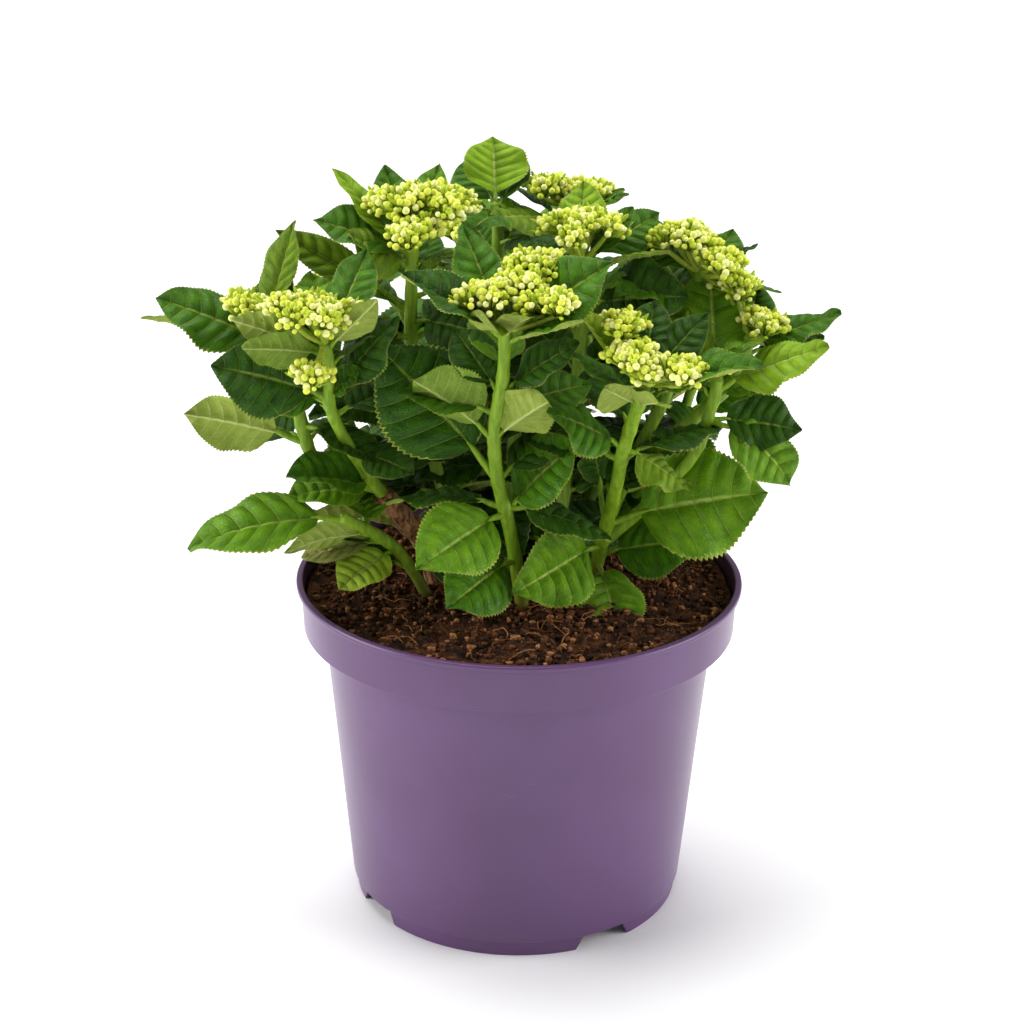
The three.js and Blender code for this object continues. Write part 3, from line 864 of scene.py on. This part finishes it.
def at_height(path, z):
    """The first point of a rising path at this height."""
    k = int(np.argmax(path[:, 2] >= z)) if path[-1, 2] >= z else len(path) - 1
    if k == 0:
        return path[0]
    share = (z - path[k - 1, 2]) / max(path[k, 2] - path[k - 1, 2], 1e-6)
    return path[k - 1] + (path[k] - path[k - 1]) * min(share, 1.0)


def crossed_pairs(low, high, count, length, front_free, chance):
    """Leaves in opposite pairs, each pair turned a quarter from the last, smaller towards the top.
    With front_free, those that would point forwards are swung round to the side."""
    rows = []
    start = chance.uniform(0, 90)
    for i in range(count):
        share = i / max(count - 1, 1)
        z = low + (high - low) * share**0.8
        tone = ("dark", "dark", "deep", "mid")[min(3, int(share * 2.6 + chance.uniform(0, 1.3)))]
        for side in (0, 180):
            azimuth = (start + 90 * i + side + chance.uniform(-14, 14) + 180) % 360 - 180
            if front_free and abs(azimuth) < 75:
                azimuth = math.copysign(180 - abs(azimuth), azimuth)
            rise = -14 + 46 * share + chance.uniform(-12, 10)
            size = length * (1.12 - 0.35 * share) * chance.uniform(0.88, 1.1)
            rows.append((z, azimuth, rise, size, chance.uniform(0.6, 0.74), chance.uniform(-30, 30),
                         26 - 14 * share, tone, {"rows": FILLER_ROWS}))
    return rows


def clear_of_pot(start, row):
    """The same leaf, raised until its tip and its middle pass over the pot's rim and the compost."""
    z, azimuth, rise, length, *rest = row
    for _ in range(20):
        tip, middle = (start + heading(azimuth, rise) * length * share for share in (1.0, 0.6))
        low = min(tip[2] - RIM_CLEARANCE, middle[2] - RIM_CLEARANCE * 0.6)
        if low > POT_HEIGHT or (low > SOIL_EDGE and np.hypot(*tip[:2]) < 84):
            break
        rise += 4
    return (z, azimuth, rise, length, *rest)


def add_shoot(name, plan, leaves, stalks, bloom, stems):
    chance = random.Random(f"{SEED} {name}")
    path = smooth_path(plan["path"], 20)
    front_free = not plan["group"].startswith("back")
    filling = crossed_pairs(*plan["pairs"], front_free, chance)
    rows = plan["leaves"] + [clear_of_pot(at_height(path, row[0]), row) for row in filling]
    base, top = plan["radii"]
    radii = np.linspace(base, top, len(path))
    joints = np.max([np.exp(-(((path[:, 2] - row[0]) / 2.4) ** 2)) for row in rows], axis=0)
    tube(stems, path, radii + JOINT_SWELL * joints, sides=14)
    for row in rows:
        z, azimuth, rise, length, width, face, bend, tone, *own = row
        add_leaf(leaves, stalks, at_height(path, z), azimuth, rise + 0.42 * bend, length, width, face, bend,
                 tone, chance, **(own[0] if own else {}))
    add_head(*bloom, path[-1], plan["heads"], chance)


def flaking(along, angle):
    """The uneven swell of old wood, with long flakes that stand off it."""
    swell = 0.05 * np.sin(2 * angle + 9 * along) + 0.05 * np.sin(31 * along + angle)
    flakes = np.clip(np.sin(7 * angle + 17 * along) + np.sin(5 * angle - 23 * along), 0, 1)
    return 1 + swell + 0.09 * flakes


def grow_shrub():
    stems = Heap("stems", [SHOOT_SKIN])
    stalks = Heap("leaf_stalks", [SHOOT_SKIN])
    rays = Heap("flower_stalks", [BUD_STALK])
    leaves = {name: Heap(f"leaves_{name}", LEAF_MATERIALS) for name in GROUP_MASSES}
    buds = {name: Heap(f"buds_{name}", BUD_TONES) for name in GROUP_MASSES}
    for name, plan in SHOOTS.items():
        group = plan["group"]
        add_shoot(name, plan, leaves[group], stalks, (buds[group], rays), stems)
    for name in GROUP_MASSES:
        leaves[name].piece("foliage", GROUP_MASSES[name], tiled=True)
        buds[name].piece("foliage")
    stems.piece("stem", STEM_NODES)
    stalks.piece("stem")
    rays.piece("stem")
    old = Heap("old_wood", [BARK])
    path = smooth_path([(-40, 2, SOIL_FOOT), (-47, -4, 193), (-59, -11, 210), (-69, -18, 226)], 16)
    tube(old, path, np.linspace(6.6, 5.0, len(path)), sides=48, relief=flaking)
    old.piece("old_wood", ("stem_left_old_wood",))


# ---------------------------------------------------------------- compost


def soil_height(x, y):
    share = np.hypot(x, y) / BAND_BOTTOM_RADIUS
    uneven = np.sin(x / 11 + 1) * np.cos(y / 13) + np.sin((x + y) / 7) / 2
    return SOIL_EDGE + SOIL_CROWN * (1 - share**2) + SOIL_UNEVEN * uneven


def lumpy(x, y, size, seed):
    return noise.noise(Vector((x / size, y / size, seed)))


def make_soil():
    """The compost: a crumbly top, and plain sides that follow the pot's inside to its floor."""
    rings, around = 96, 240
    heap = Heap("compost", [PEAT])
    angle = np.linspace(0, 2 * np.pi, around, endpoint=False)
    radius = SOIL_RADIUS * np.linspace(1, 0.006, rings)
    x, y = radius[:, None] * np.sin(angle), -radius[:, None] * np.cos(angle)
    z = soil_height(x, y)
    for i in range(rings):
        for j in range(around):
            coarse = lumpy(x[i, j], y[i, j], 9, 3.1)
            fine = lumpy(x[i, j], y[i, j], 2.6, 7.7)
            z[i, j] += SOIL_LUMPS * coarse + 1.5 * fine
    sides = [(BODY_FOOT_RADIUS - WALL - FIT_GAP, FOOT_HEIGHT + FLOOR_THICKNESS + FIT_GAP),
             (BODY_TOP_RADIUS - WALL - FIT_GAP, BAND_BOTTOM + WALL + FIT_GAP),
             (SOIL_RADIUS, BAND_BOTTOM + WALL + FIT_GAP)]
    skirt = np.array([[(r * np.sin(a), -r * np.cos(a), h) for a in angle] for r, h in sides])
    points = np.vstack([skirt.reshape(-1, 3), np.stack([x, y, z], -1).reshape(-1, 3)])
    points = np.vstack([points, [[0, 0, skirt[0, 0, 2]], [0, 0, z[-1].mean()]]])
    heap.add(points, closed_faces(rings + len(sides), around))
    heap.piece("soil", ("soil",))


CRUMB_SIDES = 5
CRUMB_COUNT, FIBRE_COUNT = 5200, 300


def crumb_shape(chance):
    """A small lump of a few faces."""
    ring = np.linspace(0, 2 * np.pi, CRUMB_SIDES, endpoint=False)
    rows = [(-0.4, 0.85), (0.45, 0.85)]
    points = [(r * math.cos(a + k), r * math.sin(a + k), h) for k, (h, r) in enumerate(rows) for a in ring]
    points = np.array(points + [(0, 0, -0.8), (0, 0, 1.0)])
    points *= np.array([[chance.uniform(0.72, 1.25)] for _ in points])
    return points, closed_faces(2, CRUMB_SIDES)


def make_soil_bits():
    """Crumbs and curled fibres that lie on the compost."""
    chance = random.Random(SEED + 1)
    shapes = [crumb_shape(chance) for _ in range(12)]
    heap = Heap("compost_bits", PEAT_BITS)
    for _ in range(CRUMB_COUNT):
        reach = (SOIL_RADIUS - 2.5) * math.sqrt(chance.random())
        angle = chance.uniform(0, 2 * math.pi)
        x, y = reach * math.sin(angle), -reach * math.cos(angle)
        size = 0.5 + 2.1 * chance.random() ** 2.6
        points, faces = chance.choice(shapes)
        turn = chance.uniform(0, 2 * math.pi)
        cos, sin = math.cos(turn), math.sin(turn)
        spin = np.array([[cos, sin, 0], [-sin, cos, 0], [0, 0, 1]])
        scale = size * np.array([1, chance.uniform(0.6, 1), chance.uniform(0.5, 0.9)])
        z = float(soil_height(x, y)) + SOIL_LUMPS * lumpy(x, y, 9, 3.1) + size * 0.35
        heap.add((points * scale) @ spin + [x, y, z], faces, chance.choices([0, 1, 2], [4, 5, 2])[0])
    for _ in range(FIBRE_COUNT):
        reach = (SOIL_RADIUS - 9) * math.sqrt(chance.random())
        angle = chance.uniform(0, 2 * math.pi)
        x, y = reach * math.sin(angle), -reach * math.cos(angle)
        length = chance.uniform(5, 16)
        way = chance.uniform(0, 2 * math.pi)
        path = []
        for k in range(6):
            lift = 1.2 + 1.4 * math.sin(k / 5 * math.pi) * chance.uniform(0.4, 1.6)
            path.append((x, y, float(soil_height(x, y)) + SOIL_LUMPS * lumpy(x, y, 9, 3.1) + lift))
            x += math.cos(way) * length / 5
            y += math.sin(way) * length / 5
            way += chance.uniform(-0.6, 0.6)
        tube(heap, path, chance.uniform(0.16, 0.36), sides=5, slot=chance.choices([1, 2], [2, 1])[0])
    heap.piece("soil")


# ---------------------------------------------------------------- pot

LIP_RADIUS, LIP_HEIGHT, LIP_WIDTH = 115, 3, 3.4
FOOT_RADIUS, FOOT_WIDTH, PAD_RADIUS, PAD_SLOPE = 85.8, 2.6, 26, 5
NOTCH_COUNT, NOTCH_AZIMUTH = 4, -58
DRAIN_RADIUS, DRAIN_CIRCLE, DRAIN_REACH = 6, 66, 4  # one hole behind each notch
NOTCH_BOTTOM_WIDTH, NOTCH_TOP_WIDTH, NOTCH_HEIGHT = 32, 24, 7.6
POT_SEGMENTS = 288


def rounded(profile, radii):
    """A closed outline, each corner rounded by an arc of a few points with a point close by on each side."""
    made = []
    count = len(profile)
    for k in range(count):
        before, corner, after = (np.array(profile[(k + d) % count], float) for d in (-1, 0, 1))
        back, ahead = unit(before - corner), unit(after - corner)
        radius = radii[k]
        if corner[0] < 0.01 or radius == 0:
            made.append(corner)
            continue
        half = math.acos(np.clip(back @ ahead, -1, 1)) / 2
        reach = min(radius / math.tan(half), 0.42 * np.linalg.norm(before - corner),
                    0.42 * np.linalg.norm(after - corner))
        start, end = corner + back * reach, corner + ahead * reach
        made.append(corner + back * reach * 1.15)
        for t in np.linspace(0, 1, 6):
            made.append((1 - t) ** 2 * start + 2 * t * (1 - t) * corner + t * t * end)
        made.append(corner + ahead * reach * 1.15)
    return np.array(made)


def make_pot():
    floor = FOOT_HEIGHT + FLOOR_THICKNESS
    pad_side = PAD_RADIUS - WALL
    outline = [
        (0, 0, 0), (PAD_RADIUS, 0, 1), (PAD_RADIUS + PAD_SLOPE, FOOT_HEIGHT, 1),
        (FOOT_RADIUS - FOOT_WIDTH, FOOT_HEIGHT, 0.4), (FOOT_RADIUS - FOOT_WIDTH, 0, 0.4),
        (FOOT_RADIUS, 0, 0.6), (FOOT_RADIUS, FOOT_HEIGHT, 0.4), (BODY_FOOT_RADIUS, FOOT_HEIGHT + 0.6, 1.2),
        (BODY_TOP_RADIUS, BAND_BOTTOM, 0.6), (BAND_BOTTOM_RADIUS, BAND_BOTTOM, 0.9),
        (BAND_TOP_RADIUS, POT_HEIGHT - LIP_HEIGHT, 0.5), (LIP_RADIUS, POT_HEIGHT - LIP_HEIGHT, 1.3),
        (LIP_RADIUS, POT_HEIGHT, 1.3), (LIP_RADIUS - LIP_WIDTH, POT_HEIGHT, 1.0),
        (BAND_BOTTOM_RADIUS - WALL, BAND_BOTTOM + WALL, 1), (BODY_TOP_RADIUS - WALL, BAND_BOTTOM + WALL, 1),
        (BODY_FOOT_RADIUS - WALL, floor, 2), (pad_side + PAD_SLOPE, floor, 1),
        (pad_side, FLOOR_THICKNESS, 1), (0, FLOOR_THICKNESS, 0),
    ]
    profile = rounded([(r, z) for r, z, _ in outline], [corner for _, _, corner in outline])
    angle = np.linspace(0, 2 * np.pi, POT_SEGMENTS, endpoint=False)
    ring = profile[1:-1]
    off = (np.degrees(angle) - NOTCH_AZIMUTH + 45) % (360 / NOTCH_COUNT) - 45
    across = np.abs(np.radians(off)) * FOOT_RADIUS
    slope = (NOTCH_BOTTOM_WIDTH - NOTCH_TOP_WIDTH) / 2
    notch = NOTCH_HEIGHT * np.clip((NOTCH_BOTTOM_WIDTH / 2 - across) / slope, 0, 1)
    radius = np.repeat(ring[:, :1], POT_SEGMENTS, 1)
    height = np.repeat(ring[:, 1:], POT_SEGMENTS, 1)
    foot = (radius > FOOT_RADIUS - FOOT_WIDTH - 0.1) & (radius < BODY_FOOT_RADIUS) & (height < FOOT_HEIGHT)
    height = np.where(foot, np.maximum(height, notch[None]), height)
    points = np.stack([radius * np.sin(angle), -radius * np.cos(angle), height], -1).reshape(-1, 3)
    heap = Heap("pot_shell", [POT_PLASTIC])
    heap.add(np.vstack([points, [[0, 0, 0], [0, 0, FLOOR_THICKNESS]]]), closed_faces(len(ring), POT_SEGMENTS))
    drill(heap.piece("pot", ("pot",)))


def drill(pot):
    """Cuts the drain holes through the pot's floor."""
    holes = Heap("drain_holes", [POT_PLASTIC])
    for k in range(NOTCH_COUNT):
        x, y, _ = heading(NOTCH_AZIMUTH + 360 * k / NOTCH_COUNT, 0) * DRAIN_CIRCLE
        low, high = FOOT_HEIGHT - DRAIN_REACH, FOOT_HEIGHT + FLOOR_THICKNESS + DRAIN_REACH
        tube(holes, [(x, y, low), (x, y, high)], DRAIN_RADIUS, sides=32)
    cutter = bpy.data.objects.new("drain_holes", holes.mesh(smooth=False))
    bpy.context.collection.objects.link(cutter)
    cut = pot.modifiers.new("drains", "BOOLEAN")
    cut.object = cutter
    cut.solver = "EXACT"
    shown = pot.evaluated_get(bpy.context.evaluated_depsgraph_get())
    drilled = bpy.data.meshes.new_from_object(shown)
    pot.modifiers.clear()
    pot.data = drilled
    drilled.set_sharp_from_angle(angle=math.radians(35))
    bpy.data.objects.remove(cutter)


# ---------------------------------------------------------------- camera, floor and lights

CAMERA_AT = (-4, -1096.8, 640.3)
CAMERA_DOWN = 21.43
CAMERA_ROLL = 0.57
LENS = 80.86
FLOOR_HALF = 8.0  # metres


def make_camera():
    data = bpy.data.cameras.new("camera")
    data.lens = LENS
    data.sensor_width = 36
    data.clip_end = 50
    camera = bpy.data.objects.new("camera", data)
    bpy.context.collection.objects.link(camera)
    tilt = Matrix.Rotation(math.radians(90 - CAMERA_DOWN), 4, "X")
    turn = tilt @ Matrix.Rotation(math.radians(CAMERA_ROLL), 4, "Z")
    camera.matrix_world = Matrix.Translation(Vector(CAMERA_AT) * MM) @ turn
    bpy.context.scene.camera = camera


def make_floor():
    half = FLOOR_HALF
    mesh = bpy.data.meshes.new("floor")
    corners = [(-half, -half, 0), (half, -half, 0), (half, half, 0), (-half, half, 0)]
    mesh.from_pydata(corners, [], [(0, 1, 2, 3)])
    mesh.materials.append(backdrop_paint())
    floor = bpy.data.objects.new("floor", mesh)
    bpy.context.collection.objects.link(floor)


def make_sun(name, azimuth, rise, strength, angle):
    data = bpy.data.lights.new(name, "SUN")
    data.energy = strength
    data.angle = math.radians(angle)
    lamp = bpy.data.objects.new(name, data)
    bpy.context.collection.objects.link(lamp)
    lamp.rotation_mode = "QUATERNION"
    lamp.rotation_quaternion = Vector(heading(azimuth, rise)).to_track_quat("Z", "Y")


def make_lights():
    world = bpy.data.worlds.new("studio")
    world.use_nodes = True
    world.node_tree.nodes["Background"].inputs["Color"].default_value = (1, 1, 1, 1)
    world.node_tree.nodes["Background"].inputs["Strength"].default_value = 0.28
    bpy.context.scene.world = world
    make_sun("left_light", -86, 18, 2.9, 44)
    make_sun("right_light", 86, 18, 2.5, 44)
    make_sun("top_light", -160, 68, 2.7, 50)


make_pot()
make_soil()
make_soil_bits()
grow_shrub()
make_floor()
make_lights()
make_camera()
bpy.context.scene.view_settings.view_transform = "Standard"
